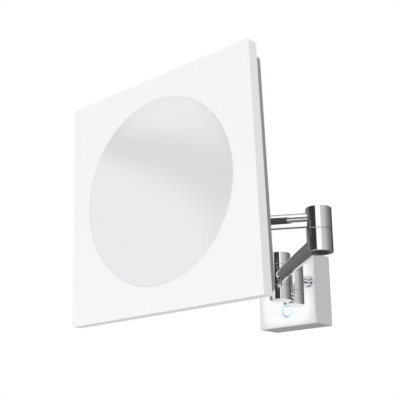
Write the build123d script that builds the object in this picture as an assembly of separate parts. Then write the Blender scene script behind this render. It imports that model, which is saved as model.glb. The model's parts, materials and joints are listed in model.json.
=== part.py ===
"""Extendable shaving mirror: a square lit head on a folding wall arm.

Millimetres. The origin is the centre of the wall box's back, on the wall plane.
+X is right, -Y points out of the wall into the room, and +Z is up.
Headings are angles from straight out of the wall (-Y), positive towards +X.
"""
import os
from math import cos, radians, sin

from build123d import *

# ---------------------------------------------------------------- driving dimensions
# wall box
BOX_SIDE = 78.0
BOX_DEPTH = 28.8
BOX_WALL = 1.0
DIFFUSER_THICKNESS = 3.0
DIFFUSER_SIDE = 75.9
WALL_PLATE_THICKNESS = 3.0
WALL_PLATE_SIDE = 75.6
WALL_HOLE_SPACING = 56.0
WALL_HOLE_RADIUS = 2.25
SENSOR_DROP = 21.5
SENSOR_RING_OUTER = 7.0
SENSOR_RING_INNER = 5.8

# arm joints, seen from above
WALL_JOINT_X = 30.0
WALL_JOINT_REACH = 55.5
LINK_LENGTH = 32.0
LOWER_ARM_LENGTH = 146.2
UPPER_ARM_LENGTH = 105.7
NECK_LENGTH = 58.0
LINK_HEADING = 12.3
LOWER_ARM_HEADING = 51.9
UPPER_ARM_HEADING = -58.3
HEAD_HEADING = 4.36
HEAD_TILT = 2.0
HEAD_ROLL = -1.0

# knuckles: stacked barrels, divided by thin friction washers
KNUCKLE_RADIUS = 11.2
ARM_RADIUS = 6.5
STUB_RADIUS = 5.8
LINK_BAR_RADIUS = 5.5
TUBE_WALL = 1.5
SEAM = 0.3
STUB_HEIGHT = 7.0
LOWER_ARM_HEIGHT = 3.0
UPPER_ARM_HEIGHT = 21.4
LINK_TOP = 26.9
LINK_UPPER_SEAM = 14.0
LINK_LOWER_SEAM = -7.5
LINK_BOTTOM = -22.3
ELBOW_TOP = 31.65
ELBOW_SEAM = 12.0
ELBOW_BOTTOM = -7.65
HEAD_JOINT_TOP = 51.0
HEAD_JOINT_SEAM = 31.3
HEAD_JOINT_BOTTOM = 11.6
SET_SCREW_HEADING = 110.0
SET_SCREW_RADIUS = 1.75

# bolts that hold the knuckles together
BOLT_RADIUS = 4.0
BOLT_HEAD_RADIUS = 6.5
BOLT_HEAD_HEIGHT = 2.8
NUT_RADIUS = 5.6
NUT_HEIGHT = 4.0
BUSH_RADIUS = 5.5
RECESS_RADIUS = 7.6
CAP_THICKNESS = 1.5
CAP_GAP = 0.4
POCKET_FLOOR = 8.4

# head
HEAD_SIDE = 208.0
FRAME_THICKNESS = 11.7
FRAME_CHAMFER = 0.4
LIGHT_POCKET_SIDE = 190.0
LIGHT_POCKET_FLOOR = 8.3
MIRROR_RADIUS = 82.4
MIRROR_CURVATURE = 700.0
MIRROR_THICKNESS = 2.5
MIRROR_CENTRE_DEPTH = 5.3
SEAL_THICKNESS = 0.6
COVER_SIDE = 197.0
COVER_CORNER = 4.0
COVER_BACK = 24.7
COVER_WALL = 1.5
CHASSIS_SIDE = 188.0
CHASSIS_THICKNESS = 1.5
BOARD_THICKNESS = 1.6
COVER_SCREW_SPAN = 85.0
BRACKET_RISE = 1.9

# tilt hinge
TILT_DEPTH = 36.2
TILT_RADIUS = 8.0
TILT_HUB_HALF = 7.5
TILT_BARREL_WIDTH = 9.0
TILT_PIN_RADIUS = 3.0
TILT_BUSH_RADIUS = 4.6
NECK_RADIUS = 5.5
BRACKET_WIDTH = 44.0
BRACKET_HEIGHT = 36.0
BRACKET_THICKNESS = 3.0

# fits
PRESS_GAP = 0.02
RUNNING_GAP = 0.05
EASY_GAP = 0.25

# ---------------------------------------------------------------- derived places
BASE = (Align.CENTER, Align.CENTER, Align.MIN)


def heading(angle):
    """Unit vector for a heading."""
    return Vector(sin(radians(angle)), -cos(radians(angle)), 0)


WALL_JOINT = Vector(WALL_JOINT_X, -WALL_JOINT_REACH, 0)
ARM_JOINT = WALL_JOINT + heading(LINK_HEADING) * LINK_LENGTH
ELBOW = ARM_JOINT + heading(LOWER_ARM_HEADING) * LOWER_ARM_LENGTH
HEAD_JOINT = ELBOW + heading(UPPER_ARM_HEADING) * UPPER_ARM_LENGTH

NECK_HEIGHT = (HEAD_JOINT_SEAM + HEAD_JOINT_TOP) / 2
UPPER_BAR_HEIGHT = (LINK_UPPER_SEAM + LINK_TOP) / 2
LOWER_BAR_HEIGHT = (LINK_BOTTOM + LINK_LOWER_SEAM) / 2

# neck frame: on the head joint's axis, -Y towards the head; hinge and head frames: centre
# of the front face, +Y towards the back, the head turned a little about that line
NECK_PLACE = Pos(HEAD_JOINT.X, HEAD_JOINT.Y, NECK_HEIGHT) * Rot(0, 0, HEAD_HEADING)
TILT_REACH = NECK_LENGTH - TILT_DEPTH
HINGE_PLACE = (
    NECK_PLACE
    * Pos(0, -TILT_REACH, 0)
    * Rot(HEAD_TILT, 0, 0)
    * Pos(0, -TILT_DEPTH, BRACKET_RISE)
)
HEAD_PLACE = HINGE_PLACE * Rot(0, HEAD_ROLL, 0)


# ---------------------------------------------------------------- building blocks
def at_height(point, height):
    """The point moved to a height."""
    return Vector(point.X, point.Y, height)


def upright(centre, low, high, radius):
    """Vertical cylinder between two heights."""
    return Pos(centre.X, centre.Y, low) * Cylinder(radius, high - low, align=BASE)


def rod(start, end, radius):
    """Cylinder from one point to another."""
    run = end - start
    return Plane(origin=start, z_dir=run) * Cylinder(radius, run.length, align=BASE)


def tube(start, end, radius, wall):
    """Round tube from one point to another."""
    return rod(start, end, radius) - rod(start, end, radius - wall)


def block(x_range, y_range, z_range):
    """Box between two limits on each axis."""
    size = [high - low for low, high in (x_range, y_range, z_range)]
    middle = [(high + low) / 2 for low, high in (x_range, y_range, z_range)]
    return Pos(*middle) * Box(*size)


def slab(side, low, high, corner=0.0):
    """Square plate across Y, with rounded corners where asked."""
    outline = RectangleRounded(side, side, corner) if corner else Rectangle(side, side)
    plate = extrude(outline, high - low)
    return Pos(0, high, 0) * Rot(90, 0, 0) * plate


def along_y(x, z, low, high, radius):
    """Cylinder along Y at a place on the XZ plane."""
    return rod(Vector(x, low, z), Vector(x, high, z), radius)


def group(pieces):
    """Separate solids kept in one node."""
    return Part() + pieces


def corners(span):
    """The four corners of a square pattern on the XZ plane."""
    return [(x, z) for x in (-span, span) for z in (-span, span)]


# ---------------------------------------------------------------- knuckle pieces
def barrel(centre, low, high, hole_radius):
    """Polished barrel with softened rims and a hole on its axis."""
    body = upright(centre, low, high, KNUCKLE_RADIUS)
    rims = body.edges().filter_by(GeomType.CIRCLE)
    return chamfer(rims, 0.2) - upright(centre, low, high, hole_radius)


def pocket(centre, height, angle, radius):
    """Flat-bottomed hole that takes the end of a tube, as a cutter."""
    outward = heading(angle)
    floor = at_height(centre, height) + outward * POCKET_FLOOR
    return rod(floor, floor + outward * KNUCKLE_RADIUS, radius + PRESS_GAP)


def top_recess(centre, top):
    """Cutter for the bolt head and its cap, from the top."""
    depth = CAP_THICKNESS + CAP_GAP + BOLT_HEAD_HEIGHT
    return upright(centre, top - depth, top, RECESS_RADIUS)


def bottom_recess(centre, bottom):
    """Cutter for the nut and its cap, from below."""
    depth = CAP_THICKNESS + 2 * CAP_GAP + NUT_HEIGHT
    return upright(centre, bottom, bottom + depth, RECESS_RADIUS)


def bolt(centre, bottom, top):
    """Shoulder bolt with a hexagon socket; its head hides under the top cap."""
    head_top = top - CAP_THICKNESS - CAP_GAP
    head_low = head_top - BOLT_HEAD_HEIGHT
    head = upright(centre, head_low, head_top, BOLT_HEAD_RADIUS)
    shank = upright(centre, bottom + CAP_THICKNESS + CAP_GAP, head_low, BOLT_RADIUS)
    socket = Pos(centre.X, centre.Y, head_top) * extrude(RegularPolygon(2.5, 6), -2)
    return head + shank - socket


def nut(centre, bottom):
    """Lock nut on the bolt's lower end."""
    low = bottom + CAP_THICKNESS + 2 * CAP_GAP
    body = Pos(centre.X, centre.Y, low) * extrude(RegularPolygon(NUT_RADIUS, 6), NUT_HEIGHT)
    return body - upright(centre, low, low + NUT_HEIGHT, BOLT_RADIUS + PRESS_GAP)


def cap(centre, low, sunk=0.0):
    """Round cover of a bolt recess."""
    return upright(centre, low + sunk, low + CAP_THICKNESS, RECESS_RADIUS - PRESS_GAP)


def bush(centre, low, high):
    """Plain bearing sleeve round the bolt."""
    sleeve = upright(centre, low, high, BUSH_RADIUS - PRESS_GAP)
    return sleeve - upright(centre, low, high, BOLT_RADIUS + RUNNING_GAP)


def washer(centre, seam):
    """Friction washer that fills the seam between two barrels."""
    low, high = seam - SEAM / 2, seam + SEAM / 2
    ring = upright(centre, low, high, KNUCKLE_RADIUS - 0.5)
    return ring - upright(centre, low, high, BOLT_RADIUS + EASY_GAP)


# ---------------------------------------------------------------- wall box
STUB_BLOCK_FRONT = 17.0
STUB_SOCKET_FLOOR = 6.5
STUB_COLLAR_RADIUS = 7.1
STUB_COLLAR_HEIGHT = 1.5
LUG_X = 20.0
LUG_DEPTH = 7.0
NIGHT_BOARD_BACK = STUB_BLOCK_FRONT
NIGHT_BOARD_SIDE = 60.0
CABLE_HOLE_RADIUS = 6.0
BLOCK_SCREW_Z = (-3.0, 9.0)
BOX_INSIDE = BOX_SIDE / 2 - BOX_WALL
DIFFUSER_BACK = -(BOX_DEPTH - DIFFUSER_THICKNESS)


def wall_plate():
    """Steel plate screwed to the wall, with two lugs for the housing screws."""
    body = slab(WALL_PLATE_SIDE, -WALL_PLATE_THICKNESS, 0, 3)
    for side in (-LUG_X, LUG_X):
        lug = block((side - 6, side + 6), (-11, -WALL_PLATE_THICKNESS), (31, 37.5))
        tapped = rod(Vector(side, -LUG_DEPTH, 30), Vector(side, -LUG_DEPTH, 40), 1.5 + PRESS_GAP)
        body += lug - tapped
    for x, z in corners(WALL_HOLE_SPACING / 2):
        body -= along_y(x, z, -WALL_PLATE_THICKNESS, 0, WALL_HOLE_RADIUS)
    body -= along_y(0, 0, -WALL_PLATE_THICKNESS, 0, CABLE_HOLE_RADIUS)
    for z in BLOCK_SCREW_Z:
        body -= along_y(WALL_JOINT_X - 3, z, -WALL_PLATE_THICKNESS, 0, 1.75)
        body -= along_y(WALL_JOINT_X - 3, z, -1.6, 0, 3.2)
    return body


def cable_grommet():
    """Rubber ring round the supply cable's way through the plate."""
    waist = along_y(0, 0, -WALL_PLATE_THICKNESS, -0.1, CABLE_HOLE_RADIUS - PRESS_GAP)
    lip = along_y(0, 0, -WALL_PLATE_THICKNESS - 1.5, -WALL_PLATE_THICKNESS, CABLE_HOLE_RADIUS + 1.5)
    return waist + lip - along_y(0, 0, -6, 0, 3.6)


def box_housing():
    """Metal square sleeve round the wall unit, open at the front and back."""
    body = slab(BOX_SIDE, -BOX_DEPTH, 0, 1.2)
    body = chamfer(body.faces().sort_by(Axis.Y)[0].edges(), 0.25)
    body -= slab(2 * BOX_INSIDE, -BOX_DEPTH, 0)
    for side in (-LUG_X, LUG_X):
        body -= rod(Vector(side, -LUG_DEPTH, 36.5), Vector(side, -LUG_DEPTH, 40), 1.6)
    return body


def housing_screws():
    """Two set screws that hold the housing on the plate, from above."""
    screws = []
    for side in (-LUG_X, LUG_X):
        foot = Vector(side, -LUG_DEPTH, 31.5)
        screw = rod(foot, foot + Vector(0, 0, 7), 1.5)
        socket = Pos(side, -LUG_DEPTH, 38.5) * extrude(RegularPolygon(0.85, 6), -1.5)
        screws.append(screw - socket)
    return group(screws)


def diffuser_panel():
    """Frosted panel set flush in the housing, with the stub's hole and the sensor's groove."""
    body = slab(DIFFUSER_SIDE, -BOX_DEPTH, DIFFUSER_BACK, 0.6)
    body -= along_y(WALL_JOINT_X, STUB_HEIGHT, -BOX_DEPTH, DIFFUSER_BACK, STUB_RADIUS + 0.3)
    return body - ring_on_front(SENSOR_RING_OUTER, SENSOR_RING_INNER)


def ring_on_front(outer, inner):
    """Flat ring sunk 0.6 mm into the front, round the touch sensor's centre."""
    low, high = -BOX_DEPTH, -BOX_DEPTH + 0.6
    ring = along_y(0, -SENSOR_DROP, low, high, outer)
    return ring - along_y(0, -SENSOR_DROP, low, high, inner)


def sensor_ring():
    """Lit ring that marks the touch sensor."""
    return ring_on_front(SENSOR_RING_OUTER - PRESS_GAP, SENSOR_RING_INNER + PRESS_GAP)


def sensor_board():
    """Touch sensor's round circuit board, behind the panel."""
    return along_y(0, -SENSOR_DROP, DIFFUSER_BACK, DIFFUSER_BACK + BOARD_THICKNESS, 9.5)


def night_light_board():
    """Circuit board that lights the wall box's front."""
    front = -NIGHT_BOARD_BACK - BOARD_THICKNESS
    body = slab(NIGHT_BOARD_SIDE, front, -NIGHT_BOARD_BACK, 2)
    body -= along_y(WALL_JOINT_X, STUB_HEIGHT, front, -NIGHT_BOARD_BACK, STUB_RADIUS + 1)
    for x, z in corners(WALL_HOLE_SPACING / 2):
        body -= along_y(x, z, front, -NIGHT_BOARD_BACK, 5)
    return body


def night_light_leds():
    """Light chips on the front of the night light's board."""
    front = -NIGHT_BOARD_BACK - BOARD_THICKNESS
    chips = []
    for x in (-18, -6, 6, 18):
        for z in (-20, 0, 20):
            chips.append(block((x - 1.4, x + 1.4), (front - 0.8, front), (z - 1.4, z + 1.4)))
    return group(chips)


def driver_module():
    """Sealed power supply on the wall plate, which also carries the light's board."""
    body = block((-24, -8), (-STUB_BLOCK_FRONT, -WALL_PLATE_THICKNESS), (-22, 22))
    return fillet(body.edges().filter_by(Axis.Y), 2)


def stub_block():
    """Metal block on the wall plate that carries the stub."""
    body = block((20.5, 36.5), (-STUB_BLOCK_FRONT, -WALL_PLATE_THICKNESS), (-6, 17))
    body -= along_y(WALL_JOINT_X, STUB_HEIGHT, -20, -STUB_SOCKET_FLOOR, STUB_RADIUS + PRESS_GAP)
    for z in BLOCK_SCREW_Z:
        body -= along_y(WALL_JOINT_X - 3, z, -6.2, -WALL_PLATE_THICKNESS, 1.5 + PRESS_GAP)
    return body


def block_screws():
    """Two screws from behind the plate into the stub's block."""
    screws = []
    for z in BLOCK_SCREW_Z:
        head = along_y(WALL_JOINT_X - 3, z, -1.6, -0.1, 2.9)
        screws.append(head + along_y(WALL_JOINT_X - 3, z, -6, -1.6, 1.5))
    return group(screws)


def wall_stub():
    """Short tube from the block out to the first knuckle, with a collar on the panel."""
    inner = Vector(WALL_JOINT_X, -STUB_SOCKET_FLOOR, STUB_HEIGHT)
    outer = Vector(WALL_JOINT_X, -WALL_JOINT_REACH + POCKET_FLOOR, STUB_HEIGHT)
    face = Vector(WALL_JOINT_X, -BOX_DEPTH, STUB_HEIGHT)
    collar = tube(face, face - Vector(0, STUB_COLLAR_HEIGHT, 0), STUB_COLLAR_RADIUS, TUBE_WALL)
    return tube(inner, outer, STUB_RADIUS, TUBE_WALL) + collar


# ---------------------------------------------------------------- link between two knuckles
def hub(centre, angle, radius, height):
    """Middle barrel of a knuckle, which takes the tube at the given heading and height."""
    low, high = LINK_LOWER_SEAM + SEAM / 2, LINK_UPPER_SEAM - SEAM / 2
    body = barrel(centre, low, high, BUSH_RADIUS)
    return body - pocket(centre, height, angle, radius)


def hub_bush(centre):
    """Bearing sleeve of a middle barrel."""
    return bush(centre, LINK_LOWER_SEAM + SEAM / 2, LINK_UPPER_SEAM - SEAM / 2)


LINK_ENDS = ((WALL_JOINT, LINK_HEADING), (ARM_JOINT, LINK_HEADING + 180))


def link_top_barrels():
    """Upper barrels of the link's two knuckles."""
    barrels = []
    for centre, angle in LINK_ENDS:
        body = barrel(centre, LINK_UPPER_SEAM + SEAM / 2, LINK_TOP, BOLT_RADIUS + PRESS_GAP)
        body -= top_recess(centre, LINK_TOP)
        barrels.append(body - pocket(centre, UPPER_BAR_HEIGHT, angle, LINK_BAR_RADIUS))
    return group(barrels)


def link_bottom_barrels():
    """Lower barrels of the link's two knuckles."""
    barrels = []
    for centre, angle in LINK_ENDS:
        body = barrel(centre, LINK_BOTTOM, LINK_LOWER_SEAM - SEAM / 2, BOLT_RADIUS + PRESS_GAP)
        body -= bottom_recess(centre, LINK_BOTTOM)
        barrels.append(body - pocket(centre, LOWER_BAR_HEIGHT, angle, LINK_BAR_RADIUS))
    return group(barrels)


def link_bars():
    """Two short bars that join the knuckles, one above the other."""
    bars = []
    for height in (UPPER_BAR_HEIGHT, LOWER_BAR_HEIGHT):
        out = heading(LINK_HEADING) * POCKET_FLOOR
        start = at_height(WALL_JOINT, height) + out
        end = at_height(ARM_JOINT, height) - out
        bars.append(tube(start, end, LINK_BAR_RADIUS, TUBE_WALL))
    return group(bars)


def at_link_ends(make):
    """The same piece in both of the link's knuckles."""
    return group([make(centre) for centre, angle in LINK_ENDS])


def link_bolt(centre):
    """Bolt through one of the link's knuckles."""
    return bolt(centre, LINK_BOTTOM, LINK_TOP)


def link_nut(centre):
    """Nut of one of the link's knuckles."""
    return nut(centre, LINK_BOTTOM)


def link_washers():
    """Friction washers above and below both middle barrels."""
    seams = (LINK_UPPER_SEAM, LINK_LOWER_SEAM)
    return group([washer(centre, seam) for centre, angle in LINK_ENDS for seam in seams])


def link_caps():
    """Top and bottom covers of the link's knuckles."""
    lows = (LINK_TOP - CAP_THICKNESS, LINK_BOTTOM)
    return group([cap(centre, low) for centre, angle in LINK_ENDS for low in lows])


# ---------------------------------------------------------------- arms
def arm(start, end, height):
    """Arm tube between two knuckles, its ends seated in their pockets."""
    reach = (end - start).normalized() * POCKET_FLOOR
    return tube(at_height(start + reach, height), at_height(end - reach, height), ARM_RADIUS, TUBE_WALL)


def lower_half(centre, bottom, seam, height, angle):
    """Lower barrel of a two-part knuckle, with the nut's recess."""
    body = barrel(centre, bottom, seam - SEAM / 2, BOLT_RADIUS + PRESS_GAP)
    return body - bottom_recess(centre, bottom) - pocket(centre, height, angle, ARM_RADIUS)


def upper_half(centre, seam, top, height, angle, radius):
    """Upper barrel of a two-part knuckle, with a bush and the bolt head's recess."""
    body = barrel(centre, seam + SEAM / 2, top, BUSH_RADIUS)
    return body - top_recess(centre, top) - pocket(centre, height, angle, radius)


def upper_bush(centre, seam, top):
    """Bearing sleeve of an upper barrel, just short of the bolt's head."""
    high = top - CAP_THICKNESS - CAP_GAP - BOLT_HEAD_HEIGHT
    return bush(centre, seam + SEAM / 2, high - 0.1)


def running_bolt(centre, bottom, top):
    """Bolt of a two-part knuckle, its head lifted clear of the turning barrel."""
    return bolt(centre, bottom, top + 0.1)


def set_screw_line(inner, outer, radius):
    """Cylinder on the set screw's axis, between two distances from the elbow's axis."""
    out = heading(SET_SCREW_HEADING)
    middle = at_height(ELBOW, ELBOW_SEAM - 2.8)
    return rod(middle + out * inner, middle + out * outer, radius)


def elbow_lower():
    """Elbow's lower barrel, with the set screw's hole."""
    body = lower_half(ELBOW, ELBOW_BOTTOM, ELBOW_SEAM, LOWER_ARM_HEIGHT, LOWER_ARM_HEADING + 180)
    return body - set_screw_line(BOLT_RADIUS, KNUCKLE_RADIUS + 1, SET_SCREW_RADIUS + PRESS_GAP)


def elbow_set_screw():
    """Set screw that locks the elbow's bolt."""
    body = set_screw_line(BOLT_RADIUS + 0.1, KNUCKLE_RADIUS - 1.5, SET_SCREW_RADIUS)
    return body - set_screw_line(KNUCKLE_RADIUS - 2.8, KNUCKLE_RADIUS, 0.9)


# ---------------------------------------------------------------- neck and tilt hinge
def across(centre_y, low, high, radius, z=0.0):
    """Cylinder along X at a depth, in the neck's or the head's frame."""
    return rod(Vector(low, centre_y, z), Vector(high, centre_y, z), radius)


def neck_bar():
    """Short bar from the head joint to the tilt hinge."""
    start = Vector(0, -POCKET_FLOOR, 0)
    end = Vector(0, -TILT_REACH + 5.6, 0)
    return NECK_PLACE * rod(start, end, NECK_RADIUS)


def tilt_hub():
    """Middle barrel of the tilt hinge, on the neck."""
    body = across(-TILT_REACH, -TILT_HUB_HALF, TILT_HUB_HALF, TILT_RADIUS)
    body = chamfer(body.edges().filter_by(GeomType.CIRCLE), 0.35)
    body -= across(-TILT_REACH, -TILT_HUB_HALF, TILT_HUB_HALF, TILT_BUSH_RADIUS)
    seat = rod(
        Vector(0, -TILT_REACH + 5.6, 0), Vector(0, -TILT_REACH + 10, 0), NECK_RADIUS + PRESS_GAP
    )
    return NECK_PLACE * (body - seat)


def tilt_bush():
    """Bearing sleeve of the tilt hinge."""
    sleeve = across(-TILT_REACH, -TILT_HUB_HALF, TILT_HUB_HALF, TILT_BUSH_RADIUS - PRESS_GAP)
    hole = across(-TILT_REACH, -TILT_HUB_HALF, TILT_HUB_HALF, TILT_PIN_RADIUS + RUNNING_GAP)
    return NECK_PLACE * (sleeve - hole)


def on_both_sides(make):
    """A piece and its copy on the other side of the hinge, in the head's frame."""
    return [make(1), make(-1)]


def hinge_across(low, high, radius, side=1):
    """Cylinder on the tilt axis in the head's frame, on one side of the middle."""
    return across(TILT_DEPTH, side * low, side * high, radius, -BRACKET_RISE)


def tilt_bracket():
    """Head's half of the tilt hinge: a plate with two barrels."""
    plate = extrude(RectangleRounded(BRACKET_WIDTH, BRACKET_HEIGHT, 5), BRACKET_THICKNESS)
    body = Pos(0, COVER_BACK + BRACKET_THICKNESS, -BRACKET_RISE) * Rot(90, 0, 0) * plate
    inner = TILT_HUB_HALF + SEAM
    outer = inner + TILT_BARREL_WIDTH
    for side in (1, -1):
        x_range = sorted((side * inner, side * outer))
        y_range = (COVER_BACK + BRACKET_THICKNESS / 2, TILT_DEPTH)
        z_range = (-BRACKET_RISE - TILT_RADIUS, -BRACKET_RISE + TILT_RADIUS)
        body += block(x_range, y_range, z_range)
        body += hinge_across(inner, outer, TILT_RADIUS, side)
        body -= hinge_across(inner, outer, TILT_PIN_RADIUS + PRESS_GAP, side)
        body -= hinge_across(outer - CAP_THICKNESS, outer, 5.5, side)
    for x, z in bracket_screw_places():
        body -= along_y(x, z, COVER_BACK, COVER_BACK + BRACKET_THICKNESS, 1.75)
    return HINGE_PLACE * body


def bracket_screw_places():
    """Where the four bracket screws go, in the hinge's frame."""
    return [(x, z - BRACKET_RISE) for x in (-14, 14) for z in (-13, 13)]


def bracket_screw_lines(low, high, radius):
    """Cylinders on the bracket screws' axes between two depths."""
    return HINGE_PLACE * group([along_y(x, z, low, high, radius) for x, z in bracket_screw_places()])


def bracket_screws():
    """Four screws that hold the bracket to the chassis inside the cover."""
    screws = []
    for x, z in bracket_screw_places():
        head_low = COVER_BACK + BRACKET_THICKNESS
        head = along_y(x, z, head_low, head_low + 1.6, 2.8) - along_y(x, z, head_low + 0.6, head_low + 2, 1)
        screws.append(head + along_y(x, z, CHASSIS_BACK + 0.5, head_low, 1.5))
    return HINGE_PLACE * group(screws)


def tilt_pin():
    """Hinge pin of the tilt joint."""
    half = TILT_HUB_HALF + SEAM + TILT_BARREL_WIDTH - CAP_THICKNESS - 0.2
    return HINGE_PLACE * across(TILT_DEPTH, -half, half, TILT_PIN_RADIUS, -BRACKET_RISE)


def tilt_washers():
    """Friction washers on both sides of the middle barrel."""
    def one(side):
        ring = hinge_across(TILT_HUB_HALF, TILT_HUB_HALF + SEAM, TILT_RADIUS - 0.8, side)
        return ring - hinge_across(TILT_HUB_HALF, TILT_HUB_HALF + SEAM, TILT_PIN_RADIUS + EASY_GAP, side)
    return HINGE_PLACE * group(on_both_sides(one))


def tilt_caps():
    """Covers over the ends of the hinge pin."""
    outer = TILT_HUB_HALF + SEAM + TILT_BARREL_WIDTH
    return HINGE_PLACE * group(
        on_both_sides(lambda side: hinge_across(outer - CAP_THICKNESS, outer, 5.5 - PRESS_GAP, side))
    )


# ---------------------------------------------------------------- head
COVER_FRONT = FRAME_THICKNESS + SEAL_THICKNESS
CHASSIS_BACK = FRAME_THICKNESS + CHASSIS_THICKNESS
BOARD_FRONT = FRAME_THICKNESS - BOARD_THICKNESS


def light_frame():
    """White acrylic square that glows round the mirror."""
    body = slab(HEAD_SIDE, 0, FRAME_THICKNESS)
    body = chamfer(body.edges(), FRAME_CHAMFER)
    body -= slab(LIGHT_POCKET_SIDE, LIGHT_POCKET_FLOOR, FRAME_THICKNESS, 4)
    return HEAD_PLACE * (body - along_y(0, 0, 0, FRAME_THICKNESS, MIRROR_RADIUS + 0.1))


def mirror_glass():
    """Round magnifying mirror, a thin dish of silvered glass."""
    middle = Pos(0, MIRROR_CENTRE_DEPTH - MIRROR_CURVATURE, 0)
    disc = along_y(0, 0, 0, FRAME_THICKNESS, MIRROR_RADIUS)
    dish = disc & (middle * Sphere(MIRROR_CURVATURE + MIRROR_THICKNESS))
    return HEAD_PLACE * (dish - middle * Sphere(MIRROR_CURVATURE))


def mirror_pad():
    """Moulded ring that beds the mirror on the chassis."""
    middle = Pos(0, MIRROR_CENTRE_DEPTH - MIRROR_CURVATURE, 0)
    ring = along_y(0, 0, 2, FRAME_THICKNESS, MIRROR_RADIUS - 1) - along_y(0, 0, 2, FRAME_THICKNESS, 55)
    return HEAD_PLACE * (ring - middle * Sphere(MIRROR_CURVATURE + MIRROR_THICKNESS + 0.1))


def led_board():
    """Square circuit board round the mirror that carries the light chips."""
    body = slab(CHASSIS_SIDE, BOARD_FRONT, FRAME_THICKNESS, 3)
    body -= along_y(0, 0, BOARD_FRONT, FRAME_THICKNESS, MIRROR_RADIUS + 1)
    for x, z in corners(COVER_SCREW_SPAN):
        body -= along_y(x, z, BOARD_FRONT, FRAME_THICKNESS, 2)
    return HEAD_PLACE * body


def led_chips():
    """Light chips along the four sides of the board."""
    chips = []
    for turn in (0, 90, 180, 270):
        for place in (-72, -54, -36, -18, 0, 18, 36, 54, 72):
            chip = block((place - 1.4, place + 1.4), (BOARD_FRONT - 0.9, BOARD_FRONT), (88.6, 91.4))
            chips.append(Rot(0, turn, 0) * chip)
    return HEAD_PLACE * group(chips)


def chassis_plate():
    """Aluminium plate behind the mirror, with four pillars that take the bracket's screws."""
    body = slab(CHASSIS_SIDE, FRAME_THICKNESS, CHASSIS_BACK, 6)
    body -= along_y(0, 30, FRAME_THICKNESS, CHASSIS_BACK, 5)
    for x, z in corners(COVER_SCREW_SPAN):
        body -= along_y(x, z, FRAME_THICKNESS, CHASSIS_BACK, 1.5 + PRESS_GAP)
    pillars = bracket_screw_lines(CHASSIS_BACK - 0.5, COVER_BACK - COVER_WALL, 4)
    screw_holes = bracket_screw_lines(FRAME_THICKNESS, COVER_BACK, 1.5 + PRESS_GAP)
    return HEAD_PLACE * body + pillars - screw_holes


def cover_seal():
    """Rubber seal between the frame and the rear cover."""
    outer = slab(COVER_SIDE - 1.6, FRAME_THICKNESS, COVER_FRONT, COVER_CORNER - 0.8)
    return HEAD_PLACE * (outer - slab(COVER_SIDE - 6, FRAME_THICKNESS, COVER_FRONT, COVER_CORNER - 3))


def rear_cover():
    """Grey metal pan over the back of the head."""
    body = slab(COVER_SIDE, COVER_FRONT, COVER_BACK, COVER_CORNER)
    back_rim = body.faces().sort_by(Axis.Y)[-1].edges()
    body = fillet(back_rim, 1.2)
    inside_side = COVER_SIDE - 2 * COVER_WALL
    inside = slab(inside_side, COVER_FRONT, COVER_BACK - COVER_WALL, COVER_CORNER - COVER_WALL)
    body -= inside
    for x, z in corners(COVER_SCREW_SPAN):
        body += along_y(x, z, CHASSIS_BACK, COVER_BACK - COVER_WALL / 2, 3.6)
        body -= along_y(x, z, CHASSIS_BACK, COVER_BACK, 1.7)
    return HEAD_PLACE * body - bracket_screw_lines(COVER_BACK - COVER_WALL, COVER_BACK, 1.75)


def cover_screws():
    """Four screws that hold the rear cover to the chassis."""
    screws = []
    for x, z in corners(COVER_SCREW_SPAN):
        head = along_y(x, z, COVER_BACK, COVER_BACK + 1.5, 2.7)
        head -= along_y(x, z, COVER_BACK + 0.6, COVER_BACK + 2, 1)
        screws.append(head + along_y(x, z, FRAME_THICKNESS + 0.1, COVER_BACK, 1.5))
    return HEAD_PLACE * group(screws)


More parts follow.
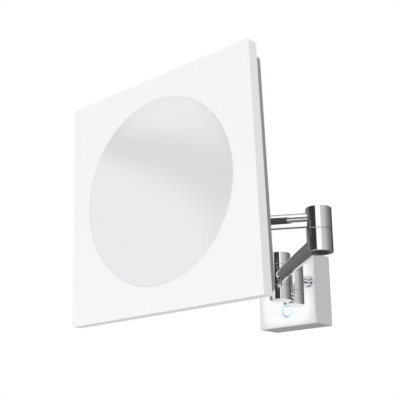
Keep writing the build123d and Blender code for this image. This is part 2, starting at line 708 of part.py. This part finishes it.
# ---------------------------------------------------------------- the whole mirror
def parts():
    """Every node's shape by name."""
    return {
        "wall_plate": wall_plate(),
        "cable_grommet": cable_grommet(),
        "box_housing": box_housing(),
        "housing_screws": housing_screws(),
        "diffuser_panel": diffuser_panel(),
        "sensor_ring": sensor_ring(),
        "sensor_board": sensor_board(),
        "night_light_board": night_light_board(),
        "night_light_leds": night_light_leds(),
        "driver_module": driver_module(),
        "stub_block": stub_block(),
        "block_screws": block_screws(),
        "wall_stub": wall_stub(),
        "wall_hub": hub(WALL_JOINT, 180, STUB_RADIUS, STUB_HEIGHT),
        "wall_bush": hub_bush(WALL_JOINT),
        "link_top_barrels": link_top_barrels(),
        "link_bottom_barrels": link_bottom_barrels(),
        "link_bars": link_bars(),
        "link_bolts": at_link_ends(link_bolt),
        "link_nuts": at_link_ends(link_nut),
        "link_washers": link_washers(),
        "link_caps": link_caps(),
        "arm_hub": hub(ARM_JOINT, LOWER_ARM_HEADING, ARM_RADIUS, LOWER_ARM_HEIGHT),
        "arm_bush": hub_bush(ARM_JOINT),
        "lower_arm_tube": arm(ARM_JOINT, ELBOW, LOWER_ARM_HEIGHT),
        "elbow_lower": elbow_lower(),
        "elbow_set_screw": elbow_set_screw(),
        "elbow_bolt": running_bolt(ELBOW, ELBOW_BOTTOM, ELBOW_TOP),
        "elbow_nut": nut(ELBOW, ELBOW_BOTTOM),
        "elbow_bottom_plug": cap(ELBOW, ELBOW_BOTTOM, 0.6),
        "elbow_washer": washer(ELBOW, ELBOW_SEAM),
        "elbow_upper": upper_half(
            ELBOW, ELBOW_SEAM, ELBOW_TOP, UPPER_ARM_HEIGHT, UPPER_ARM_HEADING, ARM_RADIUS
        ),
        "elbow_bush": upper_bush(ELBOW, ELBOW_SEAM, ELBOW_TOP),
        "elbow_top_cap": cap(ELBOW, ELBOW_TOP - CAP_THICKNESS),
        "upper_arm_tube": arm(ELBOW, HEAD_JOINT, UPPER_ARM_HEIGHT),
        "head_joint_lower": lower_half(
            HEAD_JOINT, HEAD_JOINT_BOTTOM, HEAD_JOINT_SEAM, UPPER_ARM_HEIGHT, UPPER_ARM_HEADING + 180
        ),
        "head_joint_bolt": running_bolt(HEAD_JOINT, HEAD_JOINT_BOTTOM, HEAD_JOINT_TOP),
        "head_joint_nut": nut(HEAD_JOINT, HEAD_JOINT_BOTTOM),
        "head_joint_plug": cap(HEAD_JOINT, HEAD_JOINT_BOTTOM, 0.6),
        "head_joint_washer": washer(HEAD_JOINT, HEAD_JOINT_SEAM),
        "head_joint_upper": upper_half(
            HEAD_JOINT, HEAD_JOINT_SEAM, HEAD_JOINT_TOP, NECK_HEIGHT, HEAD_HEADING, NECK_RADIUS
        ),
        "head_joint_bush": upper_bush(HEAD_JOINT, HEAD_JOINT_SEAM, HEAD_JOINT_TOP),
        "head_joint_cap": cap(HEAD_JOINT, HEAD_JOINT_TOP - CAP_THICKNESS),
        "neck_bar": neck_bar(),
        "tilt_hub": tilt_hub(),
        "tilt_bush": tilt_bush(),
        "tilt_bracket": tilt_bracket(),
        "tilt_pin": tilt_pin(),
        "tilt_washers": tilt_washers(),
        "tilt_caps": tilt_caps(),
        "bracket_screws": bracket_screws(),
        "chassis_plate": chassis_plate(),
        "led_board": led_board(),
        "led_chips": led_chips(),
        "mirror_pad": mirror_pad(),
        "mirror_glass": mirror_glass(),
        "light_frame": light_frame(),
        "cover_seal": cover_seal(),
        "rear_cover": rear_cover(),
        "cover_screws": cover_screws(),
    }


os.makedirs("parts", exist_ok=True)
for name, shape in parts().items():
    export_step(shape, f"parts/{name}.step")
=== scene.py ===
"""Looks of the extendable shaving mirror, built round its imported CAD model.

The CAD nodes keep their shapes and get procedural materials here. Metres, in the CAD frame.
"""
import json
import math

import bpy
from mathutils import Matrix, Vector


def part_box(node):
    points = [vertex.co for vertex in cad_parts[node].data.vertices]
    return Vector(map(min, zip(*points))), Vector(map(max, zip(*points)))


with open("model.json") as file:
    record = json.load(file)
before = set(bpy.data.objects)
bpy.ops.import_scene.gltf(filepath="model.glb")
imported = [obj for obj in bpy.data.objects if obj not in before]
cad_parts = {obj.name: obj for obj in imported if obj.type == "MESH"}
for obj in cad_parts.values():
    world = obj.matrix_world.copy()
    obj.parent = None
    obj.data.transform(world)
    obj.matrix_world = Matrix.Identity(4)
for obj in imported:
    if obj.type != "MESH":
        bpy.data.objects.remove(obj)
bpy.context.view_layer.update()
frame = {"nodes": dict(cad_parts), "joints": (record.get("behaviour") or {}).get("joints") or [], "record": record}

NODES = frame["nodes"]
JOINTS = {joint["name"]: joint for joint in frame["joints"]}
SCENE = bpy.context.scene
SCENE.view_settings.view_transform = "Standard"


# ---------------------------------------------------------------- node helpers
class Tree:
    """A node tree with short ways to add what a look is made of."""

    def __init__(self, tree):
        self.tree = tree

    def node(self, kind, **values):
        """Adds a node; values name its properties or its sockets."""
        made = self.tree.nodes.new("ShaderNode" + kind)
        for key, value in values.items():
            if hasattr(made, key):
                setattr(made, key, value)
            else:
                made.inputs[key.replace("_", " ")].default_value = value
        return made

    def link(self, source, target):
        """Joins two sockets."""
        self.tree.links.new(source, target)

    def split(self, vector):
        """A vector's X, Y and Z."""
        made = self.node("SeparateXYZ")
        self.link(vector, made.inputs["Vector"])
        return made.outputs

    def ramp(self, value, *stops):
        """Colour ramp; each stop is a place and a grey value or a colour."""
        made = self.node("ValToRGB")
        marks = made.color_ramp.elements
        while len(marks) < len(stops):
            marks.new(0.5)
        for mark, (where, color) in zip(marks, stops):
            mark.position = where
            shade = (color, color, color) if isinstance(color, float) else color
            mark.color = (*shade, 1.0)
        self.link(value, made.inputs["Fac"])
        return made.outputs["Color"]

    def math(self, operation, first, second=0.0):
        """One step of arithmetic on sockets or numbers."""
        made = self.node("Math", operation=operation)
        for socket, value in zip(made.inputs, (first, second)):
            if isinstance(value, (int, float)):
                socket.default_value = value
            else:
                self.link(value, socket)
        return made.outputs[0]

    def distance(self, first, second):
        """Length of the line across two sides at right angles."""
        squares = [self.math("MULTIPLY", side, side) for side in (first, second)]
        return self.math("SQRT", self.math("ADD", *squares))

    def apart(self, value, middle):
        """How far a value is from a middle, whichever side it is on."""
        return self.math("ABSOLUTE", self.math("SUBTRACT", value, middle))

    def spread(self, value, low, high, start=0.0, end=1.0):
        """Maps a value between two limits smoothly to another range."""
        made = self.node("MapRange", interpolation_type="SMOOTHSTEP")
        for socket, number in zip(("From Min", "From Max", "To Min", "To Max"), (low, high, start, end)):
            made.inputs[socket].default_value = number
        self.link(value, made.inputs["Value"])
        return made.outputs["Result"]

    def mix(self, amount, first, second):
        """Colour between two colours."""
        made = self.node("MixRGB")
        self.link(amount, made.inputs["Fac"])
        for socket, color in ((made.inputs[1], first), (made.inputs[2], second)):
            if isinstance(color, float):
                socket.default_value = (color, color, color, 1.0)
            else:
                self.link(color, socket)
        return made.outputs["Color"]


class Shader(Tree):
    """A material's node tree round one Principled shader."""

    def __init__(self, name, color, metallic=0.0, roughness=0.5):
        self.material = bpy.data.materials.new(name)
        self.material.use_nodes = True
        super().__init__(self.material.node_tree)
        self.shader = self.tree.nodes["Principled BSDF"]
        self.set("Base Color", (*color, 1.0))
        self.set("Metallic", metallic)
        self.set("Roughness", roughness)

    def set(self, socket, value):
        """Gives one of the shader's own sockets a plain value."""
        self.shader.inputs[socket].default_value = value

    def color(self, socket, source):
        """Drives one of the shader's colours."""
        self.link(source, self.shader.inputs[socket])

    def here(self):
        """Position on the object, in the frame's own metres."""
        return self.node("TexCoord").outputs["Object"]

    def place(self, scale=(1.0, 1.0, 1.0)):
        """Position on the object, scaled per axis."""
        mapping = self.node("Mapping")
        mapping.inputs["Scale"].default_value = scale
        self.link(self.here(), mapping.inputs["Vector"])
        return mapping.outputs["Vector"]

    def noise(self, scale, detail=3.0, place=None, roughness=0.5):
        """Noise value between 0 and 1."""
        made = self.node("TexNoise", Scale=scale, Detail=detail, Roughness=roughness)
        self.link(place or self.place(), made.inputs["Vector"])
        return made.outputs["Fac"]

    def vary(self, socket, value, low, high):
        """Drives a grey socket between two values by a 0 to 1 value."""
        made = self.node("MapRange")
        made.inputs["To Min"].default_value = low
        made.inputs["To Max"].default_value = high
        self.link(value, made.inputs["Value"])
        self.link(made.outputs["Result"], self.shader.inputs[socket])

    def bump(self, height, distance, strength=1.0):
        """Surface relief of a height, in metres."""
        made = self.node("Bump", Distance=distance, Strength=strength)
        self.link(height, made.inputs["Height"])
        if self.shader.inputs["Normal"].is_linked:
            self.link(self.shader.inputs["Normal"].links[0].from_socket, made.inputs["Normal"])
        self.link(made.outputs["Normal"], self.shader.inputs["Normal"])


# ---------------------------------------------------------------- materials
def chrome():
    """Polished plating with faint wiping marks."""
    look = Shader("chrome", (0.80, 0.81, 0.83), metallic=1.0, roughness=0.05)
    haze = look.noise(90.0, 4.0)
    look.vary("Roughness", haze, 0.03, 0.08)
    wipes = look.noise(14.0, 6.0, look.place((8.0, 8.0, 60.0)))
    look.bump(wipes, 0.00001, 0.15)
    return look.material


def satin_metal():
    """Anodised metal with a fine upright grain."""
    look = Shader("satin_metal", (0.8, 0.81, 0.83), metallic=0.4, roughness=0.34)
    grain = look.noise(60.0, 5.0, look.place((30.0, 30.0, 1.2)), 0.7)
    look.vary("Roughness", grain, 0.26, 0.42)
    look.color("Base Color", look.ramp(grain, (0.3, (0.86, 0.87, 0.89)), (0.7, (0.92, 0.93, 0.95))))
    look.bump(grain, 0.00003, 0.4)
    return look.material


def steel():
    """Zinc-plated steel with a mottled sheen."""
    look = Shader("steel", (0.6, 0.61, 0.62), metallic=1.0, roughness=0.35)
    mottle = look.noise(220.0, 3.0)
    look.vary("Roughness", mottle, 0.22, 0.48)
    look.bump(mottle, 0.00004, 0.3)
    return look.material


def black_steel():
    """Black oxide on small screws."""
    look = Shader("black_steel", (0.02, 0.02, 0.022), metallic=0.6, roughness=0.4)
    look.vary("Roughness", look.noise(400.0), 0.3, 0.55)
    return look.material


def moulded(name, color, rough, grain=900.0, depth=0.00003):
    """Moulded plastic or rubber with a fine spark-eroded grain."""
    look = Shader(name, color, roughness=rough)
    pores = look.noise(grain, 2.0)
    look.vary("Roughness", pores, rough - 0.08, rough + 0.08)
    look.bump(pores, depth, 0.5)
    return look.material


def bronze():
    """Turned bearing bronze."""
    look = Shader("bronze", (0.55, 0.36, 0.16), metallic=1.0, roughness=0.3)
    rings = look.noise(40.0, 4.0, look.place((1.0, 1.0, 60.0)))
    look.vary("Roughness", rings, 0.22, 0.4)
    look.bump(rings, 0.00003, 0.4)
    return look.material


def corner_points(mesh, reach):
    """The points of a mesh farthest out along each of four slanting directions."""
    points = [v.co for v in mesh.vertices]
    return [max(points, key=lambda p: p.dot(way)) for way in reach]


def head_place():
    """Matrix from the head's own frame, at the middle of its front face, to the world."""
    tilt_axis = Vector(JOINTS["head_tilt"]["axis"]).normalized()
    out = Vector((tilt_axis.y, -tilt_axis.x, 0.0))
    up = Vector((0.0, 0.0, 1.0))
    ways = [tilt_axis * side + up * rise + out * 0.1 for side, rise in ((-1, 1), (1, 1), (-1, -1), (1, -1))]
    high_left, high_right, low_left, low_right = corner_points(NODES["light_frame"].data, ways)
    x_axis = (high_right - high_left + low_right - low_left).normalized()
    z_axis = high_left - low_left + high_right - low_right
    z_axis = (z_axis - x_axis * z_axis.dot(x_axis)).normalized()
    y_axis = z_axis.cross(x_axis)
    origin = (high_left + high_right + low_left + low_right) / 4
    turn = Matrix((x_axis, y_axis, z_axis)).transposed().to_4x4()
    return Matrix.Translation(origin) @ turn


HEAD = head_place()
FRAME_DEPTH = 0.0117
MIRROR_RADIUS = 0.0824
# From this depth on, the cover's back is painted darker as shade.
COVER_BACK_INSIDE = 0.0238      # depth at which the cover's grained back begins
# Glow of the frame's front and of its sides: partly the LEDs' own light, partly painted light, with the sides
# dimmer as painted shade.
FRONT_GLOW_PAINTED = (0.304, 0.302, 0.300)
SIDE_GLOW_PAINTED = (0.155, 0.163, 0.173)


def head_coordinates(look):
    """The place on the head, in the head's own frame, as separate X, Y and Z."""
    inverse = HEAD.inverted()
    mapping = look.node("Mapping")
    mapping.inputs["Location"].default_value = inverse.translation
    mapping.inputs["Rotation"].default_value = inverse.to_euler()
    look.link(look.here(), mapping.inputs["Vector"])
    return look.split(mapping.outputs["Vector"])


def frame_acrylic():
    """Opal acrylic, satin on the front, glowing from the LEDs inside, with painted light: the front glows brighter
    than the sides, each set for how bright that face looks.
    """
    look = Shader("frame_acrylic", (0.86, 0.865, 0.87), roughness=0.3)
    y = head_coordinates(look)["Y"]
    satin = look.noise(1500.0, 2.0)
    look.vary("Roughness", satin, 0.26, 0.38)
    look.bump(satin, 0.00001, 0.3)
    depth = look.math("DIVIDE", y, FRAME_DEPTH)
    # Painted light: the front face glows brighter than the sides, which get a dimmer glow as painted shade.
    glow = look.ramp(depth, (0.0, FRONT_GLOW_PAINTED), (0.03, FRONT_GLOW_PAINTED), (0.06, SIDE_GLOW_PAINTED), (1.0, SIDE_GLOW_PAINTED))
    look.color("Emission Color", glow)
    look.set("Emission Strength", 1.0)
    return look.material


SQUARENESS = 5.0      # how square the lit patch on the diffuser is; 2 would make it round
GLOW_DROP = 0.003     # how far the patch sits below the diffuser's middle


def diffuser_acrylic():
    """Opal acrylic with a soft lit square inside its edges."""
    low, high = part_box("diffuser_panel")
    middle = (low + high) / 2
    half = (high.x - low.x) / 2
    look = Shader("diffuser_acrylic", (0.84, 0.85, 0.87), roughness=0.22)
    place = look.split(look.here())
    middles = (("X", middle.x), ("Z", middle.z - GLOW_DROP))
    sides = [look.math("DIVIDE", look.apart(place[axis], at), half) for axis, at in middles]
    powers = [look.math("POWER", side, SQUARENESS) for side in sides]
    edge = look.math("POWER", look.math("ADD", *powers), 1 / SQUARENESS)
    glow = look.ramp(
        edge, (0.0, (0.44, 0.44, 0.44)), (0.8, (0.435, 0.435, 0.435)), (1.0, (0.225, 0.228, 0.235)),
    )
    look.color("Emission Color", glow)
    look.set("Emission Strength", 1.0)
    look.bump(look.noise(1500.0, 2.0), 0.00001, 0.3)
    return look.material


def mirror_silver():
    """Silvered glass: a clean reflection, with a ground rim."""
    look = Shader("mirror_silver", (0.92, 0.93, 0.95), metallic=1.0, roughness=0.01)
    place = head_coordinates(look)
    radius = look.distance(place["X"], place["Z"])
    rim = look.math("DIVIDE", radius, MIRROR_RADIUS)
    look.color("Base Color", look.ramp(
        rim, (0.0, (0.925, 0.93, 0.955)), (0.985, (0.925, 0.93, 0.955)), (0.993, (0.88, 0.89, 0.915)),
    ))
    look.vary("Roughness", look.noise(35.0, 5.0), 0.0, 0.02)
    return look.material


def cover_metal():
    """Grey lacquered, grained pan, its back painted darker as shade, for the side that faces the wall."""
    look = Shader("cover_metal", (0.4, 0.41, 0.43), metallic=0.3, roughness=0.35)
    # Painted shade: past this depth, the back, which faces the wall, gets a darker colour than the rim.
    painted_shade_back = look.math("GREATER_THAN", head_coordinates(look)["Y"], COVER_BACK_INSIDE)
    look.color("Base Color", look.mix(painted_shade_back, 0.38, 0.17))
    pores = look.noise(900.0, 3.0)
    look.vary("Roughness", pores, 0.3, 0.45)
    look.bump(pores, 0.00003, 0.5)
    return look.material


def sensor_light():
    """Pale blue light guide, deeper blue at its low left side."""
    look = Shader("sensor_light", (0.06, 0.22, 0.34), roughness=0.3)
    low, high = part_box("sensor_ring")
    middle = (low + high) / 2
    place = look.split(look.here())
    turn = look.math(
        "ARCTAN2", look.math("SUBTRACT", place["Z"], middle.z), look.math("SUBTRACT", place["X"], middle.x),
    )
    around = look.math("ADD", look.math("DIVIDE", turn, 2 * math.pi), 0.5)
    look.color("Emission Color", look.ramp(
        around, (0.0, (0.25, 0.68, 0.85)), (0.08, (0.03, 0.18, 0.5)), (0.24, (0.03, 0.16, 0.48)),
        (0.34, (0.3, 0.75, 0.9)), (0.62, (0.4, 0.85, 0.95)), (0.72, (0.03, 0.17, 0.48)),
        (0.8, (0.04, 0.2, 0.5)), (0.88, (0.3, 0.75, 0.9)), (1.0, (0.25, 0.68, 0.85)),
    ))
    look.set("Emission Strength", 1.0)
    return look.material


def circuit_board():
    """White solder mask with faint traces."""
    look = Shader("circuit_board", (0.85, 0.86, 0.85), roughness=0.35)
    traces = look.node("TexBrick", Scale=140.0)
    traces.inputs["Color1"].default_value = (0.86, 0.87, 0.86, 1)
    traces.inputs["Color2"].default_value = (0.83, 0.84, 0.83, 1)
    traces.inputs["Mortar"].default_value = (0.7, 0.72, 0.68, 1)
    look.link(look.place(), traces.inputs["Vector"])
    look.link(traces.outputs["Color"], look.shader.inputs["Base Color"])
    return look.material


def finishes():
    """A material for each of the record's slots."""
    return {
        "chrome": chrome(),
        "satin_metal": satin_metal(),
        "cover_metal": cover_metal(),
        "steel": steel(),
        "frame_acrylic": frame_acrylic(),
        "diffuser_acrylic": diffuser_acrylic(),
        "mirror": mirror_silver(),
        "board": circuit_board(),
        "led": moulded("led_phosphor", (0.9, 0.8, 0.3), 0.25, 2000.0, 0.00001),
        "sensor": sensor_light(),
        "black_plastic": moulded("black_plastic", (0.012, 0.012, 0.014), 0.42),
        "washer": moulded("washer_nylon", (0.03, 0.03, 0.034), 0.5),
        "bearing": bronze(),
        "rubber": moulded("rubber", (0.02, 0.02, 0.02), 0.65, 700.0),
        "black_steel": black_steel(),
        "pad": moulded("pad_foam", (0.7, 0.7, 0.7), 0.8, 500.0, 0.0001),
        "driver": moulded("driver_case", (0.75, 0.75, 0.72), 0.5),
    }


def dress_cad_nodes():
    """Gives every CAD node the material of its slot."""
    looks = finishes()
    for part in frame["record"]["subparts"]:
        node = NODES[part["node"]]
        if not node.material_slots:
            node.data.materials.append(None)
        for slot in node.material_slots:
            slot.material = looks[part["material_slot"]]


# ---------------------------------------------------------------- studio
FLOOR_HEIGHT = -1.35
FLOOR_SIZE = 12.0
# The floor glows: a painted pool of light in front of the mirror, dimmer past it, and one even shade to the eye.
FLOOR_PAINTED_POOL, FLOOR_REST, FLOOR_SEEN = 1.15, 0.06, 0.7     # brightness in the pool, past it, and to the eye
POOL_MIDDLE, POOL_REACH = 0.3, (0.9, 1.9)


def studio_floor():
    """Plain pale floor far below the wall box, glowing, with a painted pool of light in front of the mirror."""
    bpy.ops.mesh.primitive_plane_add(size=FLOOR_SIZE, location=(0, -1.0, FLOOR_HEIGHT))
    floor = bpy.context.object
    floor.name = "studio_floor"
    look = Shader("studio_floor", (0.12, 0.12, 0.12), roughness=0.9)
    place = look.split(look.here())
    reach = look.distance(look.math("SUBTRACT", place["X"], POOL_MIDDLE), place["Y"])
    # Painted light: a glowing pool on the floor in front of the mirror, in place of a lamp shining on it.
    painted_pool = look.spread(reach, *POOL_REACH, FLOOR_PAINTED_POOL, FLOOR_REST)
    ray = look.node("LightPath").outputs["Is Camera Ray"]
    look.color("Emission Color", look.mix(ray, painted_pool, FLOOR_SEEN))
    look.set("Emission Strength", 1.0)
    floor.data.materials.append(look.material)


# Brightness of the room by heading, in degrees from straight out of the wall towards +X: first for
# the bright strip that lies round the room, then for the rest of its walls.
STRIP_SHADES = (
    (-180, 0.02), (-145, 0.02), (-130, 0.13), (-100, 0.2), (-66, 0.28), (-56, 0.89), (6, 0.89), (12, 1.25),
    (47, 1.25), (53, 0.72), (85, 0.62), (108, 0.38), (130, 0.24), (162, 0.16), (174, 0.02), (180, 0.02),
)
ROOM_SHADES = (
    (-180, 0.02), (-145, 0.02), (-130, 0.13), (-100, 0.2), (-66, 0.28), (-56, 0.89), (2, 0.89),
    (9, 0.2), (48, 0.2), (60, 1.05), (130, 1.15), (160, 0.8), (174, 0.02), (180, 0.02),
)
# Where the room changes with rise, in degrees above level.
STRIP_RISE, STRIP_EDGE = 12.0, (6.5, 9.0)
CEILING_RISE, CEILING_SHADE = (48.0, 60.0), 0.75
GROUND_RISE, GROUND_SHADE = (-28.0, -14.0), 0.45
# A slanting darker band to the left, which the mirror shows.
BAND_SLANT, BAND_PLACE, BAND_WIDTH, BAND_SHADE = 0.38, 0.45, 1.05, 0.755
BAND_HEADING, BAND_REACH = -39.0, 14.0


def studio_world():
    """Room round the mirror: what the metal reflects by direction, and white behind the object."""
    world = bpy.data.worlds.new("studio")
    world.use_nodes = True
    SCENE.world = world
    world.node_tree.nodes.clear()
    sky = Tree(world.node_tree)
    way = sky.split(sky.node("TexCoord").outputs["Generated"])
    heading = sky.math("DEGREES", sky.math("ARCTAN2", way["X"], sky.math("MULTIPLY", way["Y"], -1.0)))
    rise = sky.math("DEGREES", sky.math("ARCSINE", way["Z"]))
    around = sky.math("ADD", sky.math("DIVIDE", heading, 360.0), 0.5)
    room, strip = (
        sky.ramp(around, *[(at / 360 + 0.5, shade) for at, shade in shades])
        for shades in (ROOM_SHADES, STRIP_SHADES)
    )
    level = sky.mix(sky.spread(sky.apart(rise, STRIP_RISE), *STRIP_EDGE), strip, room)
    slant = sky.math("ADD", rise, sky.math("MULTIPLY", heading, BAND_SLANT))
    band = sky.spread(sky.apart(slant, BAND_PLACE), 0.0, BAND_WIDTH, 1.0, 0.0)
    left = sky.math("LESS_THAN", sky.apart(heading, BAND_HEADING), BAND_REACH)
    level = sky.mix(sky.math("MULTIPLY", band, left), level, BAND_SHADE)
    level = sky.mix(sky.spread(rise, *CEILING_RISE), level, CEILING_SHADE)
    level = sky.mix(sky.spread(rise, *GROUND_RISE, 1.0, 0.0), level, GROUND_SHADE)
    lit = sky.node("Background")
    sky.link(level, lit.inputs["Color"])
    plain = sky.node("Background")
    plain.inputs["Color"].default_value = (1.0, 1.0, 1.0, 1.0)
    choose = sky.node("MixShader")
    sky.link(sky.node("LightPath").outputs["Is Camera Ray"], choose.inputs["Fac"])
    sky.link(lit.outputs["Background"], choose.inputs[1])
    sky.link(plain.outputs["Background"], choose.inputs[2])
    sky.link(choose.outputs["Shader"], sky.node("OutputWorld").inputs["Surface"])


def area_light(name, place, target, size, power):
    """Soft rectangular light aimed at a place."""
    data = bpy.data.lights.new(name, "AREA")
    data.shape = "SQUARE"
    data.size = size
    data.energy = power
    lamp = bpy.data.objects.new(name, data)
    lamp.location = place
    lamp.rotation_euler = (Vector(target) - Vector(place)).to_track_quat("-Z", "Y").to_euler()
    SCENE.collection.objects.link(lamp)


# ---------------------------------------------------------------- camera
CAMERA_PLACE = (0.5172, -0.7001, -0.165)
CAMERA_RIGHT = Vector((0.717, 0.697, -0.001))
CAMERA_FORWARD = Vector((-0.663, 0.682, 0.309))
CAMERA_LENS = 68.34


def camera():
    """Camera below and to the right of the mirror, looking up and to the left."""
    data = bpy.data.cameras.new("camera")
    data.lens = CAMERA_LENS
    data.sensor_width = 36.0
    made = bpy.data.objects.new("camera", data)
    SCENE.collection.objects.link(made)
    back = -CAMERA_FORWARD.normalized()
    right = (CAMERA_RIGHT - back * CAMERA_RIGHT.dot(back)).normalized()
    up = back.cross(right)
    made.matrix_world = Matrix.Translation(CAMERA_PLACE) @ Matrix((right, up, back)).transposed().to_4x4()
    SCENE.camera = made


dress_cad_nodes()
studio_floor()
studio_world()
area_light("overhead_soft_light", (0.2, -1.0, 1.9), (0.05, -0.2, 0.0), 1.4, 4.0)
camera()
